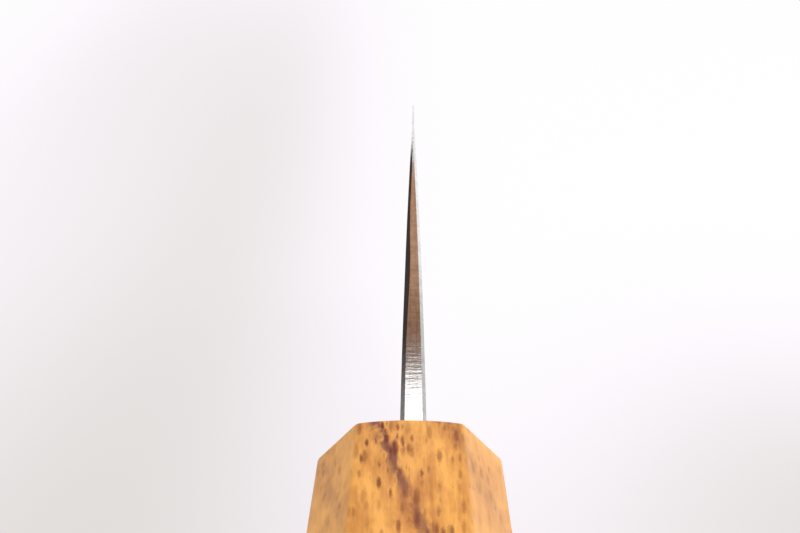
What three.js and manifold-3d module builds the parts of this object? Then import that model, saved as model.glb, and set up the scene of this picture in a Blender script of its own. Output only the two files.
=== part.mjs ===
// Bunka knife: a laminated blade with a hidden tang in a one-piece octagonal wooden handle.
// Millimetres. +Y runs from the butt to the tip, +Z is up at the spine, X is the blade's thickness.
// The origin is the centre of the handle's flat butt end.

import * as THREE from "three";
import { mergeVertices } from "three/addons/utils/BufferGeometryUtils.js";
import Module from "manifold-3d";

// Handle
const handleLength = 130;
const frontWidth = 18;
const frontHeight = 21.5;
const frontCornerCut = 3.85;
const buttWidth = 22;
const buttHeight = 25.5;
const buttCornerCut = 4.6;
const frontRimBevel = 0.5;
const buttRimBevel = 1;

// Blade outline, seen from the side
const spineBelowHandleTop = 3.2;
const neckLength = 12;
const neckHeight = 16;
const heelCornerRadius = 8;
const heelLean = 1.5;
const heelHeight = 48;
const edgeLength = 175;
const straightEdgeLength = 70;
const tipRise = 14;
const bellyPower = 2.2;
const spineCornerFromHandle = 146;

// Blade thickness, from spine to edge and from handle to tip
const spineThickness = 2.74;
const tipSpineThickness = 0.35;
const taperLength = 132;
const taperPower = 1.65;
const faceBulge = 0.3;
const behindEdgeShare = 0.1;
const edgeBevelHeight = 0.7;
const coreShare = 0.3;
const bondLine = 0.01;
const spineEaseWidth = 0.41;
const spineEaseDepth = 0.41;

// Tang
const tangLength = 95;
const tangHeight = 10;
const tangEndHeight = 5;
const tangBelowSpine = 3;
const shoulderGap = 0.3;

// Slot in the handle, and what fills it round the tang
const beddingSideRoom = 1.1;
const beddingHeightRoom = 1.5;
const beddingEndRoom = 3;
const sealDepth = 2.5;
const glueGap = 0.05;

// Fineness of the curves
const bladeStations = 16;
const claddingFaceSteps = 3;
const heelCornerSegments = 6;
const cutMargin = 2;
const mergeDistance = 1e-4;

const wasm = await Module();
wasm.setup();

// Places that follow from the sizes
const spineZ = frontHeight / 2 - spineBelowHandleTop;
const heelY = handleLength + neckLength;
const tipY = heelY + edgeLength;
const spineCornerY = handleLength + spineCornerFromHandle;
const tangEndY = handleLength - tangLength;
const tangTopZ = spineZ - tangBelowSpine;
const tangMiddleZ = tangTopZ - tangHeight / 2;
const slotWidth = spineThickness + 2 * beddingSideRoom;
const slotHeight = tangHeight + 2 * beddingHeightRoom;
const slotEndY = tangEndY - beddingEndRoom;

// Height of the cutting edge: straight from the heel, then rising in a belly to the tip
function edgeZ(y) {
  const bellyLength = edgeLength - straightEdgeLength;
  const along = Math.max(0, (y - heelY - straightEdgeLength) / bellyLength);
  return spineZ - heelHeight + tipRise * along ** bellyPower;
}

// Spine thickness, which falls away from the handle towards the tip
function thicknessAt(y) {
  const along = THREE.MathUtils.clamp((y - handleLength) / taperLength, 0, 1);
  return tipSpineThickness + (spineThickness - tipSpineThickness) * (1 - along ** taperPower);
}

// Share of the spine's thickness left at a depth of 0 at the spine to 1 at the edge
function faceShare(depth) {
  return behindEdgeShare * depth + (1 - depth) * (1 + faceBulge * depth);
}

// Depth at which the blade's face has thinned to the given share
function depthOfShare(share) {
  const a = -faceBulge;
  const b = behindEdgeShare - 1 + faceBulge;
  const c = 1 - share;
  return (-b - Math.sqrt(b * b - 4 * a * c)) / (2 * a);
}

// Closed solid through rings along +Y, each convex and running from +X towards +Z
function loft(rings) {
  const count = rings[0].length;
  const last = (rings.length - 1) * count;
  const index = [];
  for (let start = 0; start < last; start += count) {
    for (let corner = 0; corner < count; corner += 1) {
      const a = start + corner;
      const b = start + ((corner + 1) % count);
      index.push(a, b + count, b, a, a + count, b + count);
    }
  }
  for (let corner = 1; corner + 1 < count; corner += 1) {
    index.push(0, corner, corner + 1);
    index.push(last, last + corner + 1, last + corner);
  }
  const positions = rings.flat().flatMap((point) => point.toArray());
  const geometry = new THREE.BufferGeometry();
  geometry.setAttribute("position", new THREE.Float32BufferAttribute(positions, 3));
  geometry.setIndex(index);
  return geometry;
}

// Ring of [x, z] points at one place along the knife
function ringAt(y, points) {
  return points.map(([x, z]) => new THREE.Vector3(x, y, z));
}

function rectangleRing(y, halfWidth, lowZ, highZ) {
  return ringAt(y, [[-halfWidth, lowZ], [halfWidth, lowZ], [halfWidth, highZ], [-halfWidth, highZ]]);
}

// The same shape on the blade's left side, with its faces turned out again
function mirrored(geometry) {
  const left = geometry.clone().scale(-1, 1, 1);
  left.setIndex(Array.from(geometry.index.array).reverse());
  return left;
}

function solidOf(geometry) {
  geometry.deleteAttribute("normal");
  geometry.deleteAttribute("uv");
  const merged = mergeVertices(geometry, mergeDistance);
  const vertProperties = Float32Array.from(merged.attributes.position.array);
  const triVerts = Uint32Array.from(merged.index.array);
  return new wasm.Manifold(new wasm.Mesh({ numProp: 3, vertProperties, triVerts }));
}

function geometryOf(solid) {
  const { vertProperties, triVerts } = solid.getMesh();
  const geometry = new THREE.BufferGeometry();
  geometry.setAttribute("position", new THREE.BufferAttribute(vertProperties, 3));
  geometry.setIndex(new THREE.BufferAttribute(triVerts, 1));
  geometry.computeVertexNormals();
  return geometry;
}

function named(name, solid, color, roughness, metalness) {
  const material = new THREE.MeshStandardMaterial({ color, roughness, metalness });
  const mesh = new THREE.Mesh(geometryOf(solid), material);
  mesh.name = name;
  return mesh;
}

// Side outline of tang, neck, heel, clipped tip and spine, as a slab wider than the blade.
// It runs below the cutting edge, which the layers themselves bring to a point.
function outlineSlab() {
  const neckZ = spineZ - neckHeight;
  const belowEdgeZ = spineZ - heelHeight - cutMargin;
  const shoulderY = handleLength + shoulderGap;
  const heelTopY = heelY - heelLean;
  const heelSlope = heelLean / (heelHeight - neckHeight);
  const heelAt = (z) => heelTopY + heelSlope * (neckZ - z);
  const corner = new THREE.Vector2(spineCornerY, spineZ);
  const tip = new THREE.Vector2(tipY, edgeZ(tipY));
  const pastTip = tip.clone().sub(corner).setLength(cutMargin).add(tip);
  const outline = new THREE.Shape();
  outline.moveTo(shoulderY, spineZ);
  outline.lineTo(corner.x, corner.y);
  outline.lineTo(pastTip.x, pastTip.y);
  outline.lineTo(pastTip.x, belowEdgeZ);
  outline.lineTo(heelAt(belowEdgeZ), belowEdgeZ);
  outline.lineTo(heelAt(neckZ - heelCornerRadius), neckZ - heelCornerRadius);
  outline.quadraticCurveTo(heelTopY, neckZ, heelTopY - heelCornerRadius, neckZ);
  outline.lineTo(shoulderY, neckZ);
  outline.lineTo(shoulderY, tangTopZ - tangHeight);
  outline.lineTo(tangEndY, tangMiddleZ - tangEndHeight / 2);
  outline.lineTo(tangEndY, tangMiddleZ + tangEndHeight / 2);
  outline.lineTo(shoulderY, tangTopZ);
  outline.closePath();
  const depth = spineThickness + 2 * cutMargin;
  const options = { depth, bevelEnabled: false, curveSegments: heelCornerSegments };
  const geometry = new THREE.ExtrudeGeometry(outline, options);
  geometry.translate(0, 0, -depth / 2);
  const alongKnife = new THREE.Vector3(0, 1, 0);
  const up = new THREE.Vector3(0, 0, 1);
  const across = new THREE.Vector3(1, 0, 0);
  geometry.applyMatrix4(new THREE.Matrix4().makeBasis(alongKnife, up, across));
  return solidOf(geometry);
}

// Places along the knife where the blade's section is worked out
function stations() {
  const places = [tangEndY - cutMargin];
  const reach = tipY + cutMargin - handleLength;
  for (let step = 0; step <= bladeStations; step += 1) {
    places.push(handleLength + (reach * step) / bladeStations);
  }
  return places;
}

function heightAt(y, depth) {
  return spineZ - depth * (spineZ - edgeZ(y));
}

// Core layer: a flat slab at the spine, which comes out from the cladding and thins to the edge
function coreRing(y) {
  const half = thicknessAt(y) / 2;
  const bareDepth = depthOfShare(coreShare);
  const bevelDepth = 1 - edgeBevelHeight / (spineZ - edgeZ(y));
  const right = [
    [half * faceShare(bevelDepth), heightAt(y, bevelDepth)],
    [half * coreShare, heightAt(y, bareDepth)],
    [half * coreShare, spineZ + cutMargin],
  ];
  const left = right.map(([x, z]) => [-x, z]).reverse();
  return ringAt(y, [[0, edgeZ(y)], ...right, ...left]);
}

// Cladding on the right: it lies on the core and feathers out above the edge
function claddingRing(y) {
  const half = thicknessAt(y) / 2;
  const innerX = half * coreShare + bondLine;
  const featherDepth = depthOfShare(innerX / half);
  const points = [[innerX, heightAt(y, featherDepth)]];
  for (let step = claddingFaceSteps - 1; step >= 0; step -= 1) {
    const depth = (featherDepth * step) / claddingFaceSteps;
    points.push([half * faceShare(depth), heightAt(y, depth)]);
  }
  points.push([half, spineZ + cutMargin], [innerX, spineZ + cutMargin]);
  return ringAt(y, points);
}

// What is eased off the spine's right corner
function spineEaseRing(y) {
  const half = thicknessAt(y) / 2;
  const outerX = half + 2 * spineEaseWidth;
  const overZ = spineZ + 2 * spineEaseDepth;
  return ringAt(y, [
    [half - 3 * spineEaseWidth, overZ],
    [outerX, spineZ - 3 * spineEaseDepth],
    [outerX, overZ],
  ]);
}

// Handle section: an octagon whose corner cuts lie at 45 degrees, drawn in by an inset
function handleRing(y, inset) {
  const along = y / handleLength;
  const halfWidth = THREE.MathUtils.lerp(buttWidth, frontWidth, along) / 2 - inset;
  const halfHeight = THREE.MathUtils.lerp(buttHeight, frontHeight, along) / 2 - inset;
  const cut = THREE.MathUtils.lerp(buttCornerCut, frontCornerCut, along) - (2 - Math.SQRT2) * inset;
  const upperRight = [[halfWidth, halfHeight - cut], [halfWidth - cut, halfHeight]];
  const upperLeft = upperRight.map(([x, z]) => [-x, z]).reverse();
  const lower = [...upperRight, ...upperLeft].map(([x, z]) => [-x, -z]);
  return ringAt(y, [...upperRight, ...upperLeft, ...lower]);
}

function handleSolid() {
  const wood = solidOf(loft([
    handleRing(0, buttRimBevel),
    handleRing(buttRimBevel, 0),
    handleRing(handleLength - frontRimBevel, 0),
    handleRing(handleLength, frontRimBevel),
  ]));
  return wood.subtract(slotBlock(slotEndY, handleLength + cutMargin, 0));
}

// Block the shape of the slot, drawn in by a gap on its sides
function slotBlock(fromY, toY, gap) {
  const halfWidth = slotWidth / 2 - gap;
  const low = tangMiddleZ - slotHeight / 2 + gap;
  const high = tangMiddleZ + slotHeight / 2 - gap;
  return solidOf(loft([
    rectangleRing(fromY, halfWidth, low, high),
    rectangleRing(toY, halfWidth, low, high),
  ]));
}

// Room for the tang, with a thin glue gap all round it
function tangRoom() {
  const halfWidth = spineThickness / 2 + glueGap;
  const mouthY = handleLength + shoulderGap;
  const growth = (tangHeight - tangEndHeight) / 2 / (mouthY - tangEndY);
  const ring = (y) => {
    const halfHeight = tangEndHeight / 2 + growth * (y - tangEndY) + glueGap;
    return rectangleRing(y, halfWidth, tangMiddleZ - halfHeight, tangMiddleZ + halfHeight);
  };
  return solidOf(loft([ring(tangEndY - glueGap), ring(mouthY + cutMargin)]));
}

const places = stations();
const slab = outlineSlab();
const spineEase = loft(places.map(spineEaseRing));
const easeRight = solidOf(spineEase);
const easeLeft = solidOf(mirrored(spineEase));

function bladeLayer(geometry) {
  return solidOf(geometry).intersect(slab).subtract(easeRight).subtract(easeLeft);
}

const sealY = handleLength - sealDepth;
const bedding = slotBlock(slotEndY + glueGap, sealY - glueGap, glueGap).subtract(tangRoom());
const seal = slotBlock(sealY, handleLength, glueGap).subtract(tangRoom());
const core = loft(places.map(coreRing));
const cladding = loft(places.map(claddingRing));

const knife = new THREE.Group();
knife.add(
  named("core_steel", bladeLayer(core), 0x8d8c8a, 0.3, 1),
  named("left_cladding", bladeLayer(mirrored(cladding)), 0x9d9a96, 0.38, 1),
  named("right_cladding", bladeLayer(cladding), 0x9d9a96, 0.38, 1),
  named("handle", handleSolid(), 0xd99551, 0.42, 0),
  named("tang_bedding", bedding, 0x3a332c, 0.6, 0),
  named("mouth_seal", seal, 0x2e241c, 0.55, 0),
);

export default knife;
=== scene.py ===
"""Bunka knife: a laminated blade with a hidden tang in a one-piece octagonal wooden handle.

Laid out as an add-on. Run as a script, it makes each piece with its operator and sets the stage.
All lengths are metres in the knife's own frame: +Y from butt to tip, +Z up at the spine.
"""

import math
from collections import namedtuple

import bpy
from bpy.props import FloatProperty, FloatVectorProperty, IntProperty, PointerProperty
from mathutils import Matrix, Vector


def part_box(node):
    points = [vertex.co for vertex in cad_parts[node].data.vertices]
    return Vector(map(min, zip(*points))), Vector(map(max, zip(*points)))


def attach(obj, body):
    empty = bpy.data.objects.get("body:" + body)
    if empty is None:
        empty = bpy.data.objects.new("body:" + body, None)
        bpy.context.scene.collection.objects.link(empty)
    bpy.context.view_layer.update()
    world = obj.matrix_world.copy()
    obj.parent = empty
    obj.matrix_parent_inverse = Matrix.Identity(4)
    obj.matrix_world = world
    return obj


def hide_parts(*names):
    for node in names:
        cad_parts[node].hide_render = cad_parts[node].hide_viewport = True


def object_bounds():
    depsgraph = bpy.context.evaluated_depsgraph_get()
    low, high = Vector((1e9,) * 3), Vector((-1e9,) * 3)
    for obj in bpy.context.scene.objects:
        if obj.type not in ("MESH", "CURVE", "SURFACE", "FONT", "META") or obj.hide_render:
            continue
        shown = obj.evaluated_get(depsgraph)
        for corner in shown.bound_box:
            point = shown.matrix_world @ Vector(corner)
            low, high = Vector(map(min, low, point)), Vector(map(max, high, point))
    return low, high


bl_info = {
    "name": "Bunka Knife",
    "version": (1, 0, 0),
    "blender": (4, 5, 0),
    "location": "3D View > Sidebar > Knife",
    "description": "Makes a bunka knife with a laminated blade and an octagonal wooden handle",
    "category": "Add Mesh",
}

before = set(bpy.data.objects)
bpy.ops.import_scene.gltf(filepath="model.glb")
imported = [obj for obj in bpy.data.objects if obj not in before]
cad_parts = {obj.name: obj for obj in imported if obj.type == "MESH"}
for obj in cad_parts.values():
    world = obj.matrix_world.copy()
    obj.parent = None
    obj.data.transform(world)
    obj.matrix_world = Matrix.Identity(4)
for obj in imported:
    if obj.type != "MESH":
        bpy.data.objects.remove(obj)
CAD_LOW, CAD_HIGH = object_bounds()
HANDLE_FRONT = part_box("handle")[1].y
CORE_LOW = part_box("core_steel")[0]
BEDDING_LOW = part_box("tang_bedding")[0]
SEAL_LOW, SEAL_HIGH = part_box("mouth_seal")

MM = 0.001
GLUE_GAP = 0.05 * MM
BODY = "root"

# How far a cutting shape reaches past what it cuts
OVERSHOOT = 2 * MM

# Attributes of the meshes: worn edges of the handle, and millimetres above a steel layer's lower rim
WEAR = "wear"
ABOVE = "above_rim"

# Inputs of the handle's geometry nodes
HANDLE_SIZES = ("Length", "Butt Width", "Butt Height", "Butt Cut", "Front Width", "Front Height",
                "Front Cut", "Crown", "Off Centre", "Rim Radius", "Crispness")
SLOT_SIZES = ("Slot Width", "Slot Low", "Slot High", "Slot End")
MESH_COUNTS = ("Around", "Along")

# Painted soft shadows on the floor, as grey patches round the knife: their middles and spreads are in
# millimetres
ShadowPatch = namedtuple("ShadowPatch", "depth across along width reach")
PAINTED_FLOOR_SHADOWS = (
    ShadowPatch(0.19, -62, 150, 40, 135),
    ShadowPatch(0.15, -38, 360, 27, 300),
    ShadowPatch(0.26, 68, 200, 40, 75),
    ShadowPatch(0.14, -80, 500, 42, 300),
    ShadowPatch(0.08, 15, 170, 40, 60),
)


# Settings that a user would change

def metres(name, description, default):
    return FloatProperty(name=name, description=description, default=default, unit="LENGTH", precision=5)


def angle(name, description, default):
    return FloatProperty(name=name, description=description, default=default, subtype="ANGLE")


def share(name, description, default):
    return FloatProperty(name=name, description=description, default=default, min=0, max=1,
                         subtype="FACTOR")


def power(name, description, default):
    return FloatProperty(name=name, description=description, default=default, min=1, max=4)


def colour(name, description, default):
    return FloatVectorProperty(name=name, description=description, default=default, size=3, min=0, max=1,
                               subtype="COLOR")


class HandleSettings(bpy.types.PropertyGroup):
    """Sizes and colours of the octagonal wooden handle."""

    length: metres("Length", "From the butt to the front end", HANDLE_FRONT)
    butt_width: metres("Butt width", "Across the side flats at the butt", 22 * MM)
    butt_height: metres("Butt height", "From bottom flat to top flat at the butt", 25.5 * MM)
    butt_cut: metres("Butt corner cut", "How far each corner is cut back at the butt", 4.6 * MM)
    front_width: metres("Front width", "Across the side flats at the front end", 18 * MM)
    front_height: metres("Front height", "From bottom flat to top flat at the front end", 21.7 * MM)
    front_cut: metres("Front corner cut", "How far each corner is cut back at the front end", 3.85 * MM)
    crown: metres("Crown", "How far the top and bottom flats rise in their middle", 0.36 * MM)
    off_centre: metres("Off centre", "How far the handle stands beside the blade's middle", -0.35 * MM)
    rim_radius: metres("Rim radius", "Rounding round both ends", 0.22 * MM)
    crispness: FloatProperty(
        name="Crispness", description="How crisp the edges between the flats are; lower is softer",
        default=170, min=8, max=300)
    around: IntProperty(
        name="Points around", description="Mesh points round the handle", default=288, min=64)
    along: IntProperty(
        name="Rings along", description="Mesh rings from end to end", default=96, min=24)
    pale_wood: colour("Pale wood", "Lightest tone between the grain lines", (0.94, 0.430, 0.070))
    deep_wood: colour("Deep wood", "Warmer tone along the grain", (0.575, 0.205, 0.022))
    vein: colour("Vein", "Brown of the dark growth lines", (0.235, 0.060, 0.016))
    pore: colour("Pore", "Dark brown of the open pores", (0.175, 0.028, 0.008))
    # The same paler tone also paints the sheen on the corner flats
    worn_and_sheen_wood: colour("Worn wood", "Paler tone of worn edges and corner flats", (0.92, 0.50, 0.16))


class BladeSettings(bpy.types.PropertyGroup):
    """Sizes and colours of the laminated blade."""

    spine_thickness: metres("Spine thickness", "At the handle", 2.74 * MM)
    tip_thickness: metres("Tip thickness", "Of the spine line near the tip", 0.35 * MM)
    taper_length: metres("Taper length", "From the handle to where the taper ends", 132 * MM)
    taper_power: power("Taper power", "How late the spine's taper sets in", 1.65)
    spine_ease: metres("Spine easing", "Width of the eased corner on each side of the spine", 0.41 * MM)
    neck_length: metres("Neck length", "From the handle to the heel", 12 * MM)
    neck_height: metres("Neck height", "From the spine to the neck's underside", 16 * MM)
    heel_radius: metres("Heel corner radius", "Between the neck's underside and the heel", 8 * MM)
    heel_lean: metres("Heel lean", "How far the top of the heel lies behind its corner", 1.5 * MM)
    heel_height: metres("Heel height", "From the spine to the edge at the heel", 48 * MM)
    heel_ease: metres("Heel easing", "Rounding of the heel's and the neck's outer edges", 0.3 * MM)
    straight_edge: metres("Straight edge", "Length of the straight edge from the heel", 70 * MM)
    edge_length: metres("Edge length", "From the heel to the tip", 175 * MM)
    tip_rise: metres("Tip rise", "How far the tip lies above the straight edge", 14 * MM)
    belly_power: power("Belly power", "How late the edge curves up to the tip", 2.2)
    spine_corner: metres("Spine corner", "From the handle to the corner of the clipped tip", 146 * MM)
    edge_bevel: metres("Edge bevel", "Height of the sharpened bevel", 0.7 * MM)
    tang_height: metres("Tang height", "At the handle's mouth", 10 * MM)
    tang_end_height: metres("Tang end height", "At the tang's far end", 5 * MM)
    tang_drop: metres("Tang drop", "From the spine to the top of the tang", 3 * MM)
    shoulder_gap: metres("Shoulder gap", "Between the neck's shoulder and the handle", 0.3 * MM)
    bulge: share("Face bulge", "How convex the blade's sides are", 0.3)
    behind_edge: share("Behind the edge", "Thickness behind the edge, as a share of the spine's", 0.1)
    core_share: share("Core share", "Thickness of the core, as a share of the spine's", 0.3)
    core_steel: colour("Core steel", "Colour of the hard core", (0.70, 0.69, 0.68))
    cladding_steel: colour("Cladding steel", "Colour of the soft cladding", (0.46, 0.455, 0.45))


class StageSettings(bpy.types.PropertyGroup):
    """Camera, light and floor."""

    floor_white: colour("Floor white", "Colour of the floor", (1.0, 1.0, 1.0))
    # Tints of the painted shadow on the floor
    shadow_blush: colour("Floor blush", "Faint tint where the soft grey begins", (0.989, 0.94, 0.993))
    floor_shade: colour("Floor shade", "Deepest colour of the soft grey", (0.66, 0.64, 0.59))
    far_floor: colour("Far floor", "Floor away from the knife, as reflections show it", (0.34, 0.34, 0.35))
    warm_card: colour("Warm card", "Colour that the spine mirrors ahead of the tip", (0.56, 0.325, 0.205))
    deep_card: colour("Deep card", "Colour of the warm card higher up", (0.345, 0.183, 0.111))
    camera_aside: metres("Camera aside", "From the blade's middle plane to the camera", -0.174 * MM)
    camera_behind: metres("Camera behind", "From the handle's front end back to the camera", 165.57 * MM)
    camera_height: metres("Camera height", "From the handle's axis up to the camera", 82.31 * MM)
    camera_tilt: angle("Camera tilt", "How far the camera looks down", math.radians(18.51))
    camera_turn: angle("Camera turn", "How far the camera turns to the left", math.radians(0.388))
    lens: FloatProperty(
        name="Lens", description="Focal length of the camera", default=83.25, min=1, unit="CAMERA")


# Node graphs written as Python expressions

class Value:
    """A node's output socket that takes part in arithmetic."""

    def __init__(self, graph, socket):
        self.graph = graph
        self.socket = socket

    def other(self, outlet):
        """Another output of the same node."""
        return Value(self.graph, self.socket.node.outputs[outlet])

    def _maths(self, operation, *others, swap=False):
        operands = [self, *others]
        if swap:
            operands.reverse()
        return self.graph.maths(operation, *operands)

    def __add__(self, other):
        return self._maths("ADD", other)

    __radd__ = __add__

    def __sub__(self, other):
        return self._maths("SUBTRACT", other)

    def __rsub__(self, other):
        return self._maths("SUBTRACT", other, swap=True)

    def __mul__(self, other):
        return self._maths("MULTIPLY", other)

    __rmul__ = __mul__

    def __truediv__(self, other):
        return self._maths("DIVIDE", other)

    def __rtruediv__(self, other):
        return self._maths("DIVIDE", other, swap=True)

    def __pow__(self, other):
        return self._maths("POWER", other)

    def __neg__(self):
        return self._maths("MULTIPLY", -1.0)

    def __abs__(self):
        return self._maths("ABSOLUTE")


class Graph:
    """Adds nodes to a shader or geometry tree."""

    def __init__(self, tree):
        self.tree = tree

    def node(self, kind, settings=None, outlet=0, **inputs):
        """Adds a node, sets it up, feeds sockets by name, or by number as i0, and returns one output."""
        made = self.tree.nodes.new(kind)
        for name, value in (settings or {}).items():
            if name == "stops":
                self._set_stops(made.color_ramp, value)
            else:
                setattr(made, name, value)
        for name, value in inputs.items():
            numbered = name[0] == "i" and name[1:].isdigit()
            key = int(name[1:]) if numbered else name.replace("_", " ")
            self.feed(made.inputs[key], value)
        if not made.outputs:
            return made
        return Value(self, made.outputs[outlet])

    def _set_stops(self, ramp, stops):
        ramp.elements.remove(ramp.elements[-1])
        for number, (place, tone) in enumerate(stops):
            element = ramp.elements.new(place) if number else ramp.elements[0]
            element.position = place
            element.color = (*tone, 1)

    def feed(self, socket, value):
        if isinstance(value, Value):
            self.tree.links.new(value.socket, socket)
        elif socket.type == "RGBA":
            socket.default_value = (*value, 1)
        else:
            socket.default_value = value

    def maths(self, operation, *operands, clamp=False):
        inputs = {f"i{number}": operand for number, operand in enumerate(operands)}
        return self.node("ShaderNodeMath", {"operation": operation, "use_clamp": clamp}, **inputs)

    def lowest(self, a, b):
        return self.maths("MINIMUM", a, b)

    def highest(self, a, b):
        return self.maths("MAXIMUM", a, b)

    def clamp(self, value):
        return self.maths("ADD", value, 0.0, clamp=True)

    def rise(self, value, low, high):
        """0 at low and beyond it, 1 at high and beyond it, smooth in between."""
        settings = {"interpolation_type": "SMOOTHSTEP"}
        return self.node("ShaderNodeMapRange", settings, Value=value, From_Min=low, From_Max=high)

    def mix(self, factor, first, second):
        """Mixes two colours."""
        settings = {"data_type": "RGBA", "blend_type": "MIX"}
        return self.node("ShaderNodeMix", settings, outlet=2, i0=factor, i6=first, i7=second)

    def own_place(self):
        """The piece's Object coordinates."""
        return self.node("ShaderNodeTexCoord", outlet=3)

    def axes(self, vector):
        x = self.node("ShaderNodeSeparateXYZ", Vector=vector)
        return x, x.other(1), x.other(2)


class Surface(Graph):
    """A material with one Principled shader."""

    def __init__(self, name):
        self.material = bpy.data.materials.new(name)
        self.material.use_nodes = True
        super().__init__(self.material.node_tree)
        self.shader = self.tree.nodes["Principled BSDF"]

    def place(self, cell, of=None):
        """The piece's own place, or a given one in millimetres, counted in cells of so many millimetres."""
        scale = cell if of else [size * MM for size in cell]
        here = of or self.own_place()
        return self.node("ShaderNodeMapping", {"vector_type": "TEXTURE"}, Vector=here, Scale=scale)

    def noise(self, cell, of=None, detail=2.0, roughness=0.5, outlet=0):
        """Noise with cells of the given millimetres."""
        return self.node("ShaderNodeTexNoise", outlet=outlet, Vector=self.place(cell, of), Scale=1.0,
                         Detail=detail, Roughness=roughness)

    def set(self, **inputs):
        for name, value in inputs.items():
            self.feed(self.shader.inputs[name.replace("_", " ")], value)

    def bump(self, height, strength, distance):
        self.set(Normal=self.node("ShaderNodeBump", Height=height, Strength=strength, Distance=distance))


def between(value, at_zero, at_one):
    """Runs evenly from one amount, where the value is 0, to another, where it is 1."""
    return at_zero + (at_one - at_zero) * value


def emptied(owner):
    """The graph of a material or world, with its first nodes taken out."""
    owner.use_nodes = True
    owner.node_tree.nodes.clear()
    return Graph(owner.node_tree)


# Finishes

def corner_sheen(wood, handle, x, y):
    """Painted sheen on the corner flats: how far the wood's figure fades and pales there, less at their
    outer edge.
    """
    butt_half = handle.butt_width / 2 / MM
    narrowing = (handle.butt_width - handle.front_width) / 2 / handle.length
    outward = abs(x - handle.off_centre / MM) / (butt_half - narrowing * y)
    inner_edge = wood.rise(outward, 0.50, 0.60)
    outer_edge = wood.rise(outward, 0.97, 0.995)
    sheen_strength, outer_loss = 0.43, 0.75
    return sheen_strength * inner_edge * (1 - outer_loss * outer_edge)


def growth_rings(wood, place, grain, front):
    """Dark lines of rings round a pith outside the handle, and the softer halo about each line."""
    x, y, z = place
    pith_across, pith_up = -24.0, -2.0
    ring_width, first_ring, dark_ring = 6.7, 0.690, 3
    bend_length, bend_slope, bend_softness = 32, 0.225, 10.0
    past_bend = y - (front - bend_length)
    bend = bend_slope * 0.5 * (past_bend + wood.maths("SQRT", past_bend ** 2.0 + bend_softness ** 2))
    wander_part, wobble_part = 0.30, 0.16
    wander = (wood.noise((9, 60, 9), of=grain, detail=2) - 0.5) * wander_part
    wobble = (wood.noise((3.5, 14, 3.5), of=grain, detail=3) - 0.5) * wobble_part
    from_pith = wood.maths("SQRT", (x - pith_across + bend) ** 2.0 + (z - pith_up) ** 2.0)
    rings = from_pith / ring_width + wander + wobble - first_ring

    phase = wood.maths("FRACT", rings)
    is_dark = wood.maths("COMPARE", wood.maths("FLOOR", rings), dark_ring, 0.5)
    strength = between(is_dark, 0.58, 1)
    line_start, line_full, line_middle = 0.70, 0.88, 0.90
    line = wood.rise(phase, line_start, line_full) * wood.rise(phase, 1.0, line_middle) * strength
    from_line = abs(wood.maths("FRACT", phase + 1.5 - line_middle) - 0.5)
    halo_full, halo_reach = 0.05, 0.42
    return line, 1 - wood.rise(from_line, halo_full, halo_reach)


def pores(wood, grain, across, along, radius):
    """Ragged dashes along the grain, one in each cell of a stretched lattice, of varied size and tone."""
    raggedness = (0.34, 0.34, 0.34)
    ragged = wood.noise((0.1, 0.32, 0.1), of=grain, detail=2, outlet=1)
    lattice = wood.place((across, along, across), of=grain)
    lattice = wood.node("ShaderNodeVectorMath", {"operation": "MULTIPLY_ADD"},
                        i0=ragged, i1=raggedness, i2=lattice)
    settings = {"feature": "F1", "distance": "EUCLIDEAN"}
    distance = wood.node("ShaderNodeTexVoronoi", settings, Vector=lattice, Scale=1.0, Randomness=0.9)
    red = wood.node("ShaderNodeSeparateColor", Color=distance.other("Color"))
    green = red.other(1)
    reach = radius * between(green, 0.6, 1.3)
    dash = 1 - wood.rise(distance / reach, 0.35, 1.05)
    return dash * between(red, 0.48, 1)


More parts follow.
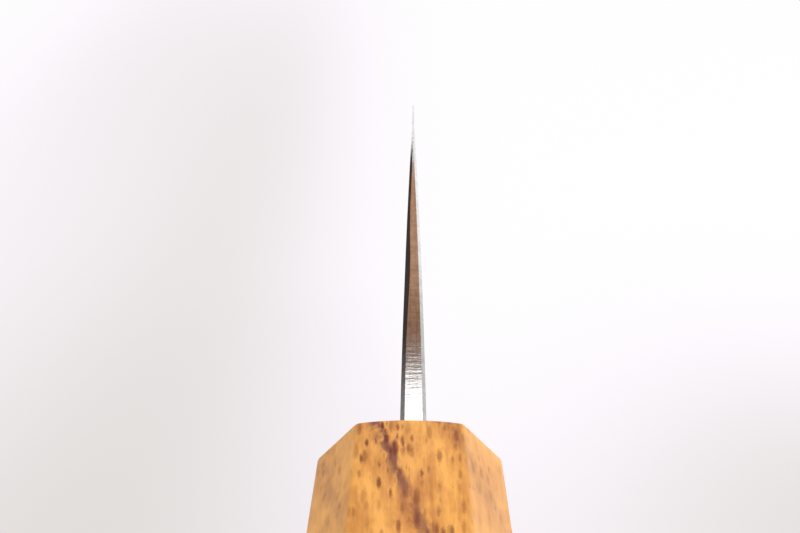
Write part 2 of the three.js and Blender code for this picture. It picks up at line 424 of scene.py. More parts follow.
def wood_finish(handle):
    """Orange ring-porous wood under a thin oil: growth rings, open pores, fibre, worn edges and a painted
    sheen on the corner flats.
    """
    wood = Surface("oiled_ring_porous_wood")
    x, y, z = wood.axes(wood.place((1, 1, 1)))
    front = handle.length / MM
    fan_middle, fan_slope, fan_length = 2.3, 0.005, 45
    fan = 1 - fan_slope * (wood.highest(y, front - fan_length) - front)
    grain = wood.node("ShaderNodeCombineXYZ", X=(x - fan_middle) * fan, Y=y, Z=z)
    from_end = wood.lowest(y, front - y)
    end_grain = wood.rise(from_end, 0.2, 0.02)
    # Oil soaks in deeper near the ends and darkens the figure there
    soak_reach, soak_full = 19, 11
    soaked = between(wood.rise(from_end, soak_reach, soak_full), 0.88, 1.18)
    # Painted sheen: the corner flats get a fainter figure, fewer pores and a paler tone, in place of the
    # sheen they reflect
    painted_sheen = corner_sheen(wood, handle, x, y) * (1 - end_grain)
    sheen_depth_loss, sheen_pore_loss, sheen_pale = 0.5, 1.5, 0.3
    line, halo = growth_rings(wood, (x, y, z), grain, front)

    cloud = wood.noise((2.2, 9, 2.2), of=grain, detail=4, roughness=0.6)
    streak = wood.noise((0.5, 14, 0.5), of=grain, detail=3, roughness=0.6)
    cloud_part, streak_part, halo_part = 0.70, 1.1, 0.32
    depth = wood.rise(cloud, 0.36, 0.66) * cloud_part + (streak - 0.5) * streak_part + halo * halo_part
    depth = depth * (1 - sheen_depth_loss * painted_sheen)
    tone = wood.mix(wood.clamp(depth), tuple(handle.pale_wood), tuple(handle.deep_wood))

    patch = wood.noise((1.6, 4.5, 1.6), of=grain, detail=3, roughness=0.6)
    vein_strength = 0.92
    vein = line * wood.rise(patch, 0.34, 0.54) * (1 - painted_sheen) * soaked
    tone = wood.mix(vein * vein_strength, tone, tuple(handle.vein))

    large = pores(wood, grain, across=0.92, along=5.2, radius=0.40)
    medium = pores(wood, grain, across=0.72, along=4.0, radius=0.37)
    small = pores(wood, grain, across=0.36, along=2.6, radius=0.28)
    clump = wood.rise(wood.noise((2.6, 10, 2.6), of=grain, detail=2), 0.40, 0.58)
    small = small * between(halo, 0.2, 0.65)
    dashes = wood.highest(wood.highest(large, medium), small) * between(clump, 0.62, 1.08)
    pore = dashes * wood.clamp(1 - sheen_pore_loss * painted_sheen) * soaked
    pore_strength = between(halo, 0.72, 1.08)
    tone = wood.mix(wood.clamp(pore * pore_strength), tone, tuple(handle.pore))

    end_strength = 0.35
    tone = wood.mix(end_grain * end_strength, tone, tuple(handle.deep_wood))
    wear = wood.node("ShaderNodeAttribute", {"attribute_name": WEAR}, outlet=2)
    # Worn edges are paler from wear; the corner flats are painted paler as a sheen
    wear_and_sheen = wear * between(streak, 0.06, 0.28) + sheen_pale * painted_sheen
    tone = wood.mix(wear_and_sheen, tone, tuple(handle.worn_and_sheen_wood))

    oiled, pore_rough, streak_rough, wear_polish = 0.40, 0.25, 0.1, 0.06
    roughness = oiled + pore * pore_rough + (streak - 0.5) * streak_rough - wear * wear_polish
    wood.set(Base_Color=tone, Roughness=roughness, Specular_IOR_Level=0.33)
    fibre_relief = 0.25
    wood.bump(streak * fibre_relief - pore, strength=0.3, distance=0.05 * MM)
    return wood.material


def steel_finish(name, tint, spine, roughness, haze, rim_width, rim_tone, rim_roughness):
    """Ground steel: marks across the blade, haze, a rim along the layer's foot and a polished spine."""
    steel = Surface(name)
    up = steel.axes(steel.place((1, 1, 1)))[2]
    spine_height = spine / MM
    polish_reach, polish_full = 0.9, 0.5
    top = steel.rise(up, spine_height - polish_reach, spine_height - polish_full)
    above = steel.node("ShaderNodeAttribute", {"attribute_name": ABOVE}, outlet=2)
    rim_blend = 0.2
    rim = 1 - steel.rise(above, rim_width * (1 - rim_blend), rim_width * (1 + rim_blend))
    low = 1 - steel.rise(above, 1.0, 9.0)
    high = steel.rise(above, 6.0, 36.0)

    marks = steel.noise((4, 0.14, 16), detail=4, roughness=0.7)
    bands = steel.noise((6, 1.1, 40), detail=3, roughness=0.6)
    cloud = steel.noise((7, 7, 7), detail=5, roughness=0.65)
    lines = steel.noise((2.0, 0.75, 16), detail=3, roughness=0.6)
    mottle = steel.noise((0.4, 2.4, 16), detail=3, roughness=0.7)

    marks_part, bands_part = 0.5, 0.7
    ground = (marks - 0.5) * marks_part + (bands - 0.5) * bands_part
    even_shade, high_shade, low_shade = 0.54, -0.25, 0.12
    shade = even_shade + ground + (cloud - 0.5) * haze * (1 + low) + high * high_shade + low * low_shade
    dull_share, bright_share = 0.70, 1.18
    dull = tuple(part * dull_share for part in tint)
    bright = tuple(min(1, part * bright_share) for part in tint)
    side_tone = steel.mix(steel.clamp(shade), dull, bright)
    side_tone = steel.mix(rim * between(marks, 0.6, 1), side_tone, rim_tone)
    mottle_part = 0.6
    polish = steel.rise(lines * (1 - mottle_part) + mottle * mottle_part, 0.36, 0.64)
    spine_dull, spine_bright = (0.53, 0.52, 0.51), (0.77, 0.76, 0.75)
    spine_tone = steel.mix(polish, spine_dull, spine_bright)
    steel.set(Base_Color=steel.mix(top, side_tone, spine_tone), Metallic=1.0)

    marks_rough, cloud_rough = 0.16, 0.4
    side = roughness + (marks - 0.5) * marks_rough + (cloud - 0.5) * haze * cloud_rough
    side = between(rim, side, rim_roughness)
    spine_roughness = 0.022
    steel.set(Roughness=steel.clamp(between(top, side, spine_roughness)))
    side_marks, spine_marks, spine_lines = 0.5, 0.15, 1.3
    side_relief = marks * side_marks + bands
    spine_relief = marks * spine_marks + lines * spine_lines
    steel.bump(between(top, side_relief, spine_relief), strength=0.3, distance=0.02 * MM)
    return steel.material


def resin_finish():
    """Dark hardened resin with a few pale specks."""
    resin = Surface("dark_resin")
    speck = resin.noise((0.5, 0.5, 0.5), detail=4, roughness=0.7)
    dark, pale = (0.035, 0.024, 0.018), (0.10, 0.07, 0.05)
    tone = resin.mix(resin.rise(speck, 0.55, 0.75), dark, pale)
    resin.set(Base_Color=tone, Roughness=between(speck, 0.42, 0.62))
    resin.bump(speck, strength=0.2, distance=0.05 * MM)
    return resin.material


# Shapes

def plain_mesh(holder, name):
    """A plain mesh of an object with its modifiers applied."""
    graph = bpy.context.evaluated_depsgraph_get()
    mesh = bpy.data.meshes.new_from_object(holder.evaluated_get(graph))
    mesh.name = name
    return mesh


def mesh_from(name, points, faces):
    mesh = bpy.data.meshes.new(name)
    mesh.from_pydata(points, [], faces)
    return mesh


def mesh_object(name, mesh):
    made = bpy.data.objects.new(name, mesh)
    bpy.context.scene.collection.objects.link(made)
    return made


def remove(piece):
    mesh = piece.data
    bpy.data.objects.remove(piece)
    bpy.data.meshes.remove(mesh)


def smooth(mesh, sharp_degrees):
    """Smooth shading with crisp edges where faces meet at more than the given angle."""
    mesh.shade_smooth()
    mesh.set_sharp_from_angle(angle=math.radians(sharp_degrees))


def hand_over(piece, node):
    """The piece rides on the knife and stands for its CAD node, which is hidden."""
    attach(piece, BODY)
    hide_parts(node)


def handle_tree(material):
    """Geometry nodes that draw an octagon with softened edges along a taper, and cut the tang's slot."""
    tree = bpy.data.node_groups.new("octagonal_handle", "GeometryNodeTree")
    tree.interface.new_socket("Geometry", in_out="OUTPUT", socket_type="NodeSocketGeometry")
    for name in HANDLE_SIZES + SLOT_SIZES:
        tree.interface.new_socket(name, in_out="INPUT", socket_type="NodeSocketFloat")
    for name in MESH_COUNTS:
        tree.interface.new_socket(name, in_out="INPUT", socket_type="NodeSocketInt")
    graph = Graph(tree)
    entry = graph.node("NodeGroupInput").socket.node
    given = {outlet.name: Value(graph, outlet) for outlet in entry.outputs if outlet.name}

    # A flat grid becomes the skin: its columns turn round the handle and its rows run along it,
    # with a few rows at each end to close it
    cap_rings = 2
    rows = given["Along"] + 2 * cap_rings
    grid = graph.node("GeometryNodeMeshGrid", Size_X=1.0, Size_Y=1.0,
                      Vertices_X=given["Around"] + 1, Vertices_Y=rows + 1)
    column, line, _ = graph.axes(graph.node("GeometryNodeInputPosition"))
    turn = (column + 0.5) * (2 * math.pi)
    row = (line + 0.5) * rows

    cap_butt = graph.clamp(row / cap_rings)
    cap_front = graph.clamp((rows - row) / cap_rings)
    flatness = 4.6
    reach = (1 - (1 - cap_butt) ** flatness) * (1 - (1 - cap_front) ** flatness)
    along = graph.clamp((row - cap_rings) / given["Along"])
    share_along = 0.5 - 0.5 * graph.maths("COSINE", along * math.pi)
    y = share_along * given["Length"]

    rim = given["Rim Radius"]
    from_end = graph.lowest(y, given["Length"] - y)
    inside = graph.highest(rim - from_end, 0.0)
    inset = rim - graph.maths("SQRT", graph.highest(rim * rim - inside * inside, 0.0))

    def taper(size):
        return between(share_along, given["Butt " + size], given["Front " + size])

    half_width = taper("Width") * 0.5 - inset
    half_height = taper("Height") * 0.5 - inset
    cut = taper("Cut") - inset * (2 - math.sqrt(2))
    cosine = graph.maths("COSINE", turn)
    sine = graph.maths("SINE", turn)
    side = abs(cosine) / half_width
    corner = (abs(cosine) + abs(sine)) / (half_width + half_height - cut)
    flat_x = abs(cosine) / graph.highest(graph.highest(side, abs(sine) / half_height), corner)
    crown = given["Crown"] * graph.clamp(1 - (flat_x / (half_width - cut)) ** 2.0)
    top = abs(sine) / (half_height + crown)
    terms = [side, top, corner]
    sharpest = graph.highest(graph.highest(side, top), corner)

    def rounded(crispness):
        return sum((term / sharpest) ** crispness for term in terms) ** (1 / crispness)

    radius = reach / (sharpest * rounded(given["Crispness"]))
    wear_spread = 110.0
    wear = graph.clamp((rounded(wear_spread) - 1) / (2 ** (1 / wear_spread) - 1))
    x = radius * cosine + given["Off Centre"]
    place = graph.node("ShaderNodeCombineXYZ", X=x, Y=y, Z=radius * sine)
    shell = graph.node("GeometryNodeSetPosition", Geometry=grid, Position=place)
    shell = graph.node("GeometryNodeStoreNamedAttribute", {"data_type": "FLOAT", "domain": "POINT"},
                       Geometry=shell, Name=WEAR, Value=wear)
    weld_distance = 1e-6
    shell = graph.node("GeometryNodeMergeByDistance", Geometry=shell, Distance=weld_distance)

    past_mouth = 10 * MM
    slot_long = given["Length"] - given["Slot End"] + past_mouth
    slot_size = graph.node("ShaderNodeCombineXYZ", X=given["Slot Width"], Y=slot_long,
                           Z=given["Slot High"] - given["Slot Low"])
    slot_middle = graph.node("ShaderNodeCombineXYZ", Y=given["Slot End"] + slot_long * 0.5,
                             Z=(given["Slot High"] + given["Slot Low"]) * 0.5)
    block = graph.node("GeometryNodeMeshCube", Size=slot_size)
    block = graph.node("GeometryNodeTransform", Geometry=block, Translation=slot_middle)
    wood = graph.node("GeometryNodeMeshBoolean", {"operation": "DIFFERENCE", "solver": "EXACT"},
                      i0=shell, i1=block)
    wood = graph.node("GeometryNodeRealizeInstances", Geometry=wood)
    wood = graph.node("GeometryNodeSetMaterial", Geometry=wood, Material=material)
    graph.node("NodeGroupOutput", Geometry=wood)
    return tree


def set_inputs(modifier, values):
    """Sets a geometry modifier's inputs by the identifiers of their sockets."""
    for item in modifier.node_group.interface.items_tree:
        if item.in_out == "INPUT":
            modifier[item.identifier] = values[item.name]


class BladeShape:
    """The rules that the blade's layers share, worked out from the blade's settings."""

    def __init__(self, blade):
        self.blade = blade
        self.front = HANDLE_FRONT
        self.spine = CORE_LOW.z + blade.heel_height
        self.heel = self.front + blade.neck_length
        self.tip = self.heel + blade.edge_length
        self.tang_end = CORE_LOW.y

    def edge(self, y):
        """Height of the cutting edge: straight from the heel, then rising in a belly to the tip."""
        blade = self.blade
        belly = (y - self.heel - blade.straight_edge) / (blade.edge_length - blade.straight_edge)
        return self.spine - blade.heel_height + blade.tip_rise * max(0, belly) ** blade.belly_power

    def half(self, y):
        """Half of the spine's thickness."""
        blade = self.blade
        along = min(1, max(0, (y - self.front) / blade.taper_length))
        taper = 1 - along ** blade.taper_power
        return between(taper, blade.tip_thickness, blade.spine_thickness) / 2

    def face_share(self, depth):
        """Share of the spine's thickness left at a depth of 0 at the spine to 1 at the edge."""
        return self.blade.behind_edge * depth + (1 - depth) * (1 + self.blade.bulge * depth)

    def depth_of(self, share_left):
        """Depth at which the blade's face has thinned to a share of the spine's thickness."""
        a = -self.blade.bulge
        b = self.blade.behind_edge - 1 + self.blade.bulge
        c = 1 - share_left
        return (-b - math.sqrt(b * b - 4 * a * c)) / (2 * a)

    def height(self, y, depth):
        return self.spine - depth * (self.spine - self.edge(y))

    def ease(self, y, side):
        """Width of the spine's hand-eased corner, narrower to the tip and with a swell on the left."""
        ease_length, middle, spread = 116 * MM, 56 * MM, 17 * MM
        tip_loss, swell, handle_gain = 0.12, 0.62, 0.17
        from_handle = y - self.front
        along = min(1, max(0, from_handle / ease_length))
        narrow = tip_loss * along
        midway = swell * math.exp(-((from_handle - middle) / spread) ** 2)
        wide = handle_gain * (1 - along) + midway if side < 0 else 0
        return self.blade.spine_ease * (1 - narrow + wide)

    def spine_drop(self, y, x, side):
        """How far the eased corner lies below the spine line at a distance from the middle plane."""
        roundness = 1.1
        ease = self.ease(y, side)
        past = max(0, x - (self.half(y) - ease))
        return ease * (past / ease) ** roundness

    def bare_depth(self, y):
        """Depth at which the core comes out from the cladding, along a slightly wavy line."""
        swing = 0.011
        waves = ((0.5, 190, 0), (0.3, 433, 1.7), (0.2, 911, 0.6))
        wave = sum(size * math.sin(y * pace + start) for size, pace, start in waves)
        return self.depth_of(self.blade.core_share) + swing * wave

    def bond_line(self, y):
        """Height of the line at which the cladding ends."""
        return self.height(y, self.bare_depth(y))

    def core_half(self, y):
        return self.half(y) * self.face_share(self.bare_depth(y))

    def stations(self):
        """Places along the knife of the blade's cross sections."""
        step = 1.0 * MM
        count = round((self.tip + OVERSHOOT - self.front) / step)
        return [self.tang_end - OVERSHOOT] + [self.front + step * number for number in range(count + 1)]

    def outer_half(self, point):
        """Distance from the middle plane to the blade's face at a point of the side view."""
        depth = (self.spine - point.y) / (self.spine - self.edge(point.x))
        return self.half(point.x) * self.face_share(depth)

    def heel_path(self):
        """Points up the heel, round its corner and along the neck's underside."""
        blade = self.blade
        neck = self.spine - blade.neck_height
        top = self.heel - blade.heel_lean
        slope = blade.heel_lean / (blade.heel_height - blade.neck_height)
        radius = blade.heel_radius
        line = self.bond_line(self.heel)

        def on_heel(z):
            return Vector((top + slope * (neck - z), z))

        crisp_above_line, eased_above_line = 2 * MM, 6 * MM
        points = [
            on_heel(self.spine - blade.heel_height - OVERSHOOT),
            on_heel(line + crisp_above_line),
            on_heel(line + eased_above_line),
        ]
        start = on_heel(neck - radius)
        corner = Vector((top, neck))
        end = Vector((top - radius, neck))
        steps = 16
        for number in range(steps + 1):
            t = number / steps
            points.append(start * (1 - t) ** 2 + corner * (2 * t * (1 - t)) + end * t ** 2)
        points.append(Vector((self.front + blade.shoulder_gap, neck)))
        return points

    def outline(self):
        """Side outline of tang, neck, heel and clipped tip: points, ways inward and widths of easing."""
        blade = self.blade
        shoulder = self.front + blade.shoulder_gap
        corner = Vector((self.front + blade.spine_corner, self.spine))
        tip = Vector((self.tip, self.edge(self.tip)))
        clip = (tip - corner).normalized()
        over_corner = corner - clip * (OVERSHOOT / -clip.y)
        past_tip = tip + clip * OVERSHOOT
        tang_top = self.spine - blade.tang_drop
        tang_middle = tang_top - blade.tang_height / 2
        heel = self.heel_path()
        before = [
            Vector((shoulder, self.spine + OVERSHOOT)),
            over_corner,
            past_tip,
            Vector((past_tip.x, heel[0].y)),
        ]
        after = [
            Vector((shoulder, tang_top - blade.tang_height)),
            Vector((self.tang_end, tang_middle - blade.tang_end_height / 2)),
            Vector((self.tang_end, tang_middle + blade.tang_end_height / 2)),
            Vector((shoulder, tang_top)),
        ]
        crisp = 0.02 * MM
        crisp_points, room_share = 2, 0.45
        still = Vector((0, 0))
        eased = []
        for number, point in enumerate(heel):
            if number < crisp_points:
                eased.append((point, still, crisp))
                continue
            way = heel[min(number + 1, len(heel) - 1)] - heel[number - 1]
            inward = Vector((way.y, -way.x)).normalized()
            room = self.outer_half(point) - self.core_half(point.x)
            eased.append((point, inward, min(blade.heel_ease, room_share * room)))
        first = [(point, still, crisp) for point in before]
        last = [(point, still, crisp) for point in after]
        return first + eased + last


def skin(sections, count):
    """Faces that join sections of as many points each, and close the first and the last."""
    last = (sections - 1) * count
    faces = [tuple(range(count)), tuple(last + number for number in reversed(range(count)))]
    for start in range(0, last, count):
        for number in range(count):
            a = start + number
            b = start + (number + 1) % count
            faces.append((a, a + count, b + count, b))
    return faces


def loft(name, rings):
    """Closed mesh through rings of [x, z] points, each ring at its own place along the knife."""
    points = [(x, y, z) for y, ring in rings for x, z in ring]
    return mesh_from(name, points, skin(len(rings), len(rings[0][1])))


def slab(name, shape):
    """Block with the blade's side outline, its outer edges rounded along the heel."""
    outline = shape.outline()
    turns = [math.radians(degrees) for degrees in (0, 30, 60, 90)]
    half_width = 4 * MM
    levels = [[] for _ in turns]
    outermost = []
    for point, inward, ease in outline:
        outer = shape.outer_half(point) if inward.length else half_width / 2
        for level, turn in zip(levels, turns):
            place = point + inward * (ease * (1 - math.cos(turn)))
            level.append((outer - ease * (1 - math.sin(turn)), place.x, place.y))
        place = point + inward * ease
        outermost.append((half_width, place.x, place.y))
    right = levels + [outermost]
    left = [[(-x, y, z) for x, y, z in level] for level in reversed(right)]
    sections = left + right
    points = [point for section in sections for point in section]
    return mesh_from(name, points, skin(len(sections), len(outline)))


def blade_layer(name, shape, ring, rim, material):
    """One layer of the blade: rings lofted and cut to the side outline, with heights above its rim."""
    mesh = loft(name + "_loft", [(y, ring(y)) for y in shape.stations()])
    mesh.materials.append(material)
    rough = mesh_object(name + "_rough", mesh)
    cutter = mesh_object(name + "_outline", slab(name + "_outline", shape))
    cutter.data.materials.append(material)
    cut = rough.modifiers.new("outline", "BOOLEAN")
    cut.operation = "INTERSECT"
    cut.solver = "MANIFOLD"
    cut.object = cutter
    finished = plain_mesh(rough, name)
    remove(rough)
    remove(cutter)
    heights = [(point.co.z - rim(point.co.y)) / MM for point in finished.vertices]
    finished.attributes.new(ABOVE, "FLOAT", "POINT").data.foreach_set("value", heights)
    smooth(finished, sharp_degrees=24)
    return mesh_object(name, finished)


def core_ring(shape, y):
    """Core: a slab at the spine that comes out from the cladding and thins to the edge."""
    half = shape.half(y)
    bare = shape.bare_depth(y)
    core = shape.core_half(y)
    bevel = 1 - shape.blade.edge_bevel / (shape.spine - shape.edge(y))
    right = []
    steps = 8
    for number in range(steps + 1):
        depth = bevel + (bare - bevel) * number / steps
        right.append((half * shape.face_share(depth), shape.height(y, depth)))
    left = [(-x, z) for x, z in reversed(right)]
    top = []
    for part in (1, 0.5, 0, -0.5, -1):
        x = core * part
        drop = max(shape.spine_drop(y, abs(x), side) for side in (-1, 1) if side * x >= 0)
        top.append((x, shape.spine - drop))
    return [(0, shape.edge(y)), *right, *top, *left]


def cladding_ring(shape, y, side):
    """Cladding: it lies on the core, feathers out above the edge and has the spine's eased corner."""
    bond = 0.01 * MM
    half = shape.half(y)
    inner = shape.core_half(y) + bond
    feather = shape.depth_of(inner / half)
    ease = shape.ease(y, side)
    points = [(inner, shape.height(y, feather))]
    steps = 14
    shoulder_depth = ease / (shape.spine - shape.edge(y))
    for number in range(1, steps + 1):
        depth = feather + (shoulder_depth - feather) * number / steps
        points.append((half * shape.face_share(depth), shape.height(y, depth)))
    outer = points[-1][0]
    turn_in = max(inner, half - ease)
    for part in (0.75, 0.5, 0.25, 0):
        x = turn_in + (outer - turn_in) * part
        points.append((x, shape.spine - shape.spine_drop(y, x, side)))
    points.append((inner, shape.spine - shape.spine_drop(y, inner, side)))
    # Where the eased corner reaches the core, the last two points fall together and are parted
    if points[-1] == points[-2]:
        points[-2] = tuple((a + b) / 2 for a, b in zip(points[-1], points[-3]))
    if side < 0:
        points = [(-x, z) for x, z in reversed(points)]
    return points


# Stage

def glow(name, tone, strength=1.0, second=None, axis=2, span=(0, 1)):
    """A card's material that only gives off a colour, or turns to a second one along an axis."""
    material = bpy.data.materials.new(name)
    graph = emptied(material)
    if second:
        place = graph.axes(graph.own_place())[axis]
        tone = graph.mix(graph.rise(place, *span), tone, second)
    light = graph.node("ShaderNodeEmission", Color=tone, Strength=strength)
    graph.node("ShaderNodeOutputMaterial", Surface=light)
    return material


def card(name, material, ahead, across, up):
    """An upright studio card ahead of the tip that only shows in reflections."""
    left, right = across
    low, high = up
    corners = [(left, ahead, low), (right, ahead, low), (right, ahead, high), (left, ahead, high)]
    mesh = mesh_from(name, corners, [(0, 1, 2, 3)])
    mesh.materials.append(material)
    made = mesh_object(name, mesh)
    made.visible_camera = False
    made.visible_shadow = False
    made.visible_diffuse = False


def set_cards(stage):
    """Cards for the polished spine and its eased corners to mirror, and one for the right side."""
    white = (1, 1, 1)
    distance, layer_gap = 0.57, 0.01
    ahead = HANDLE_FRONT + distance
    band = (-0.06, 0.06)

    warm_tone, deep_tone = tuple(stage.warm_card), tuple(stage.deep_card)
    warm = glow("warm_card", warm_tone, second=deep_tone, span=(0.181, 0.203))
    card("warm_card", warm, ahead, across=(-0.45, 0.45), up=(0.130, 0.75))

    strength = 2.1
    foot_tone = tuple(part / strength for part in (0.38, 0.31, 0.285))
    bright = glow("bright_card", foot_tone, strength, second=white, span=(0.2225, 0.232))
    card("bright_card", bright, ahead - layer_gap, across=(-0.08, 0.08), up=(0.211, 0.315))

    dark_tone, grey_tone = (0.06, 0.045, 0.04), (0.30, 0.29, 0.28)
    dark = glow("dark_card", dark_tone, second=grey_tone, axis=0, span=(-0.195, -0.25))
    card("dark_card", dark, ahead, across=(-0.375, -0.1125), up=band)

    pale_tone = (0.66, 0.66, 0.655)
    pale = glow("pale_card", white, strength=1.08, second=pale_tone, axis=0, span=(0.155, 0.20))
    card("pale_card", pale, ahead, across=(-0.112, 0.338), up=band)

    side = glow("side_card", white, strength=3.8)
    card("side_card", side, ahead, across=(0.41, 0.91), up=(-0.04, 0.30))


def floor_finish(stage):
    """White floor that keeps a faint true shadow, with painted soft shadows as grey patches round the
    knife; reflections see it darker away from the knife.
    """
    material = bpy.data.materials.new("white_floor")
    graph = emptied(material)
    x, y, _ = graph.axes(graph.own_place())
    shade = 0.0
    # Painted shadow and shade: each grey patch darkens the floor's colour in place of the knife's soft
    # shadow
    for shadow_patch in PAINTED_FLOOR_SHADOWS:
        aside = (x - shadow_patch.across * MM) / (shadow_patch.width * MM)
        beyond = (y - shadow_patch.along * MM) / (shadow_patch.reach * MM)
        shade = shade + shadow_patch.depth * graph.maths("EXPONENT", -(aside ** 2.0 + beyond ** 2.0))
    white = tuple(stage.floor_white)
    blush_at, shade_at = 0.06, 0.36
    stops = ((0, white), (blush_at, tuple(stage.shadow_blush)), (shade_at, tuple(stage.floor_shade)))
    shadow_tone = graph.node("ShaderNodeValToRGB", {"stops": stops}, Fac=shade)

    near, far = 0.02, 0.40
    mirrored = graph.mix(graph.rise(abs(x), near, far), white, tuple(stage.far_floor))
    by_camera = graph.node("ShaderNodeLightPath")
    tone = graph.mix(by_camera, mirrored, shadow_tone)
    seen = graph.highest(by_camera, by_camera.other("Is Glossy Ray"))
    bounce_grey, seen_grey = (0.45, 0.45, 0.45), (0.9, 0.9, 0.9)
    matte = graph.node("ShaderNodeBsdfDiffuse", Color=graph.mix(seen, bounce_grey, seen_grey))
    even = graph.node("ShaderNodeEmission", Color=tone, Strength=1.0)
    even_share = 0.91
    mixed = graph.node("ShaderNodeMixShader", i0=seen * even_share, i1=matte, i2=even)
    graph.node("ShaderNodeOutputMaterial", Surface=mixed)
    return material


def set_floor(stage):
    reach = 6.0
    low = CAD_LOW.z
    corners = [(-reach, -reach, low), (reach, -reach, low), (reach, reach, low), (-reach, reach, low)]
    mesh = mesh_from("floor", corners, [(0, 1, 2, 3)])
    mesh.materials.append(floor_finish(stage))
    mesh_object("floor", mesh)


def set_lamp(scene):
    """One softbox high on the right."""
    place = Vector((0.55, 0.15, 0.5))
    target = Vector((0, 0.16, 0))
    softbox = bpy.data.lights.new("key_softbox", "AREA")
    softbox.shape = "RECTANGLE"
    softbox.size = 0.5
    softbox.size_y = 0.7
    softbox.energy = 2.5
    lamp = bpy.data.objects.new("key_softbox", softbox)
    scene.collection.objects.link(lamp)
    lamp.location = place
    lamp.rotation_euler = (target - place).to_track_quat("-Z", "Y").to_euler()


def set_world(scene):
    """Even white surroundings, at full white to the eye and in reflections, and softer as light."""
    world = bpy.data.worlds.new("studio")
    scene.world = world
    graph = emptied(world)
    by_camera = graph.node("ShaderNodeLightPath")
    mirrored = graph.highest(by_camera, by_camera.other("Is Glossy Ray"))
    seen = graph.highest(mirrored, by_camera.other("Is Transmission Ray"))
    light = graph.node("ShaderNodeBackground", Color=(1, 0.985, 0.99), Strength=0.86)
    white = graph.node("ShaderNodeBackground", Color=(1, 1, 1), Strength=1.0)
    mixed = graph.node("ShaderNodeMixShader", i0=seen, i1=light, i2=white)
    graph.node("ShaderNodeOutputWorld", Surface=mixed)


def set_camera(scene, stage):
    camera = bpy.data.objects.new("camera", bpy.data.cameras.new("camera"))
    scene.collection.objects.link(camera)
    camera.data.sensor_width = 36
    camera.data.lens = stage.lens
    camera.data.clip_start = 0.01
    camera.location = (stage.camera_aside, HANDLE_FRONT - stage.camera_behind, stage.camera_height)
    camera.rotation_euler = (math.pi / 2 - stage.camera_tilt, 0, stage.camera_turn)
    scene.camera = camera


# Operators

class KNIFE_OT_handle(bpy.types.Operator):
    """Make the octagonal wooden handle"""

    bl_idname = "knife.handle"
    bl_label = "Make Handle"

    def execute(self, context):
        handle = context.scene.knife_handle
        material = wood_finish(handle)
        rough = mesh_object("handle_rule", bpy.data.meshes.new("handle_rule"))
        rule = rough.modifiers.new("rule", "NODES")
        rule.node_group = handle_tree(material)
        values = {name: getattr(handle, name.lower().replace(" ", "_"))
                  for name in HANDLE_SIZES + MESH_COUNTS}
        values["Slot Width"] = SEAL_HIGH.x - SEAL_LOW.x + 2 * GLUE_GAP
        values["Slot Low"] = SEAL_LOW.z - GLUE_GAP
        values["Slot High"] = SEAL_HIGH.z + GLUE_GAP
        values["Slot End"] = BEDDING_LOW.y - GLUE_GAP
        set_inputs(rule, values)
        mesh = plain_mesh(rough, "octagonal_handle")
        remove(rough)
        mesh.materials.clear()
        mesh.materials.append(material)
        smooth(mesh, sharp_degrees=30)
        hand_over(mesh_object("octagonal_handle", mesh), "handle")
        return {"FINISHED"}


class KNIFE_OT_core(bpy.types.Operator):
    """Make the blade's hard core with its edge and tang"""

    bl_idname = "knife.core"
    bl_label = "Make Core"

    def execute(self, context):
        blade = context.scene.knife_blade
        shape = BladeShape(blade)
        # The core's rim is its polished edge bevel: the lower roughness is real polish, the paler tone a
        # painted highlight
        steel = steel_finish("polished_core_steel", tuple(blade.core_steel), shape.spine,
                             roughness=0.24, haze=0.10, rim_width=blade.edge_bevel / MM,
                             rim_tone=(0.90, 0.90, 0.90), rim_roughness=0.14)
        core = blade_layer("blade_core", shape, lambda y: core_ring(shape, y), shape.edge, steel)
        hand_over(core, "core_steel")
        return {"FINISHED"}


class KNIFE_OT_cladding(bpy.types.Operator):
    """Make the soft cladding on both sides of the core"""

    bl_idname = "knife.cladding"
    bl_label = "Make Cladding"

    def execute(self, context):
        blade = context.scene.knife_blade
        shape = BladeShape(blade)
        steel = steel_finish("satin_cladding_steel", tuple(blade.cladding_steel), shape.spine,
                             roughness=0.36, haze=0.45, rim_width=0.35,
                             rim_tone=(0.24, 0.235, 0.23), rim_roughness=0.45)
        layers = (("cladding_left", -1, "left_cladding"), ("cladding_right", 1, "right_cladding"))
        for name, side, node in layers:
            def ring(y, side=side):
                return cladding_ring(shape, y, side)

            layer = blade_layer(name, shape, ring, shape.bond_line, steel)
            hand_over(layer, node)
        return {"FINISHED"}


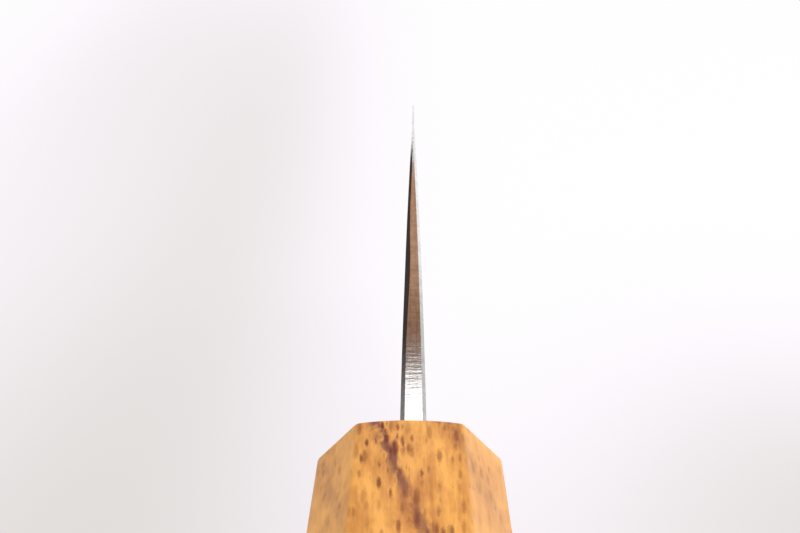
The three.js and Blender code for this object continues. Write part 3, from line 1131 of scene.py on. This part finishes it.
class KNIFE_OT_resin(bpy.types.Operator):
    """Finish the resin round the tang"""

    bl_idname = "knife.resin"
    bl_label = "Finish Resin"

    def execute(self, context):
        resin = resin_finish()
        for node in ("tang_bedding", "mouth_seal"):
            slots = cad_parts[node].data.materials
            slots.clear()
            slots.append(resin)
        return {"FINISHED"}


class KNIFE_OT_stage(bpy.types.Operator):
    """Set the camera, the light and the floor"""

    bl_idname = "knife.stage"
    bl_label = "Set Stage"

    def execute(self, context):
        scene = context.scene
        stage = scene.knife_stage
        scene.view_settings.view_transform = "Standard"
        set_world(scene)
        set_floor(stage)
        set_cards(stage)
        set_lamp(scene)
        set_camera(scene, stage)
        return {"FINISHED"}


class KNIFE_PT_sidebar(bpy.types.Panel):
    """Lists the knife's pieces and their settings"""

    bl_idname = "KNIFE_PT_sidebar"
    bl_label = "Bunka Knife"
    bl_space_type = "VIEW_3D"
    bl_region_type = "UI"
    bl_category = "Knife"

    def draw(self, context):
        scene = context.scene
        for operator in OPERATORS:
            self.layout.operator(operator.bl_idname)
        for settings in (scene.knife_handle, scene.knife_blade, scene.knife_stage):
            box = self.layout.box()
            for name in settings.__annotations__:
                box.prop(settings, name)


OPERATORS = (KNIFE_OT_handle, KNIFE_OT_core, KNIFE_OT_cladding, KNIFE_OT_resin, KNIFE_OT_stage)
CLASSES = (HandleSettings, BladeSettings, StageSettings, *OPERATORS, KNIFE_PT_sidebar)


def register():
    for cls in CLASSES:
        bpy.utils.register_class(cls)
    bpy.types.Scene.knife_handle = PointerProperty(type=HandleSettings)
    bpy.types.Scene.knife_blade = PointerProperty(type=BladeSettings)
    bpy.types.Scene.knife_stage = PointerProperty(type=StageSettings)


def unregister():
    del bpy.types.Scene.knife_stage
    del bpy.types.Scene.knife_blade
    del bpy.types.Scene.knife_handle
    for cls in reversed(CLASSES):
        bpy.utils.unregister_class(cls)


def main():
    register()
    bpy.ops.knife.handle()
    bpy.ops.knife.core()
    bpy.ops.knife.cladding()
    bpy.ops.knife.resin()
    bpy.ops.knife.stage()


if __name__ == "__main__":
    main()
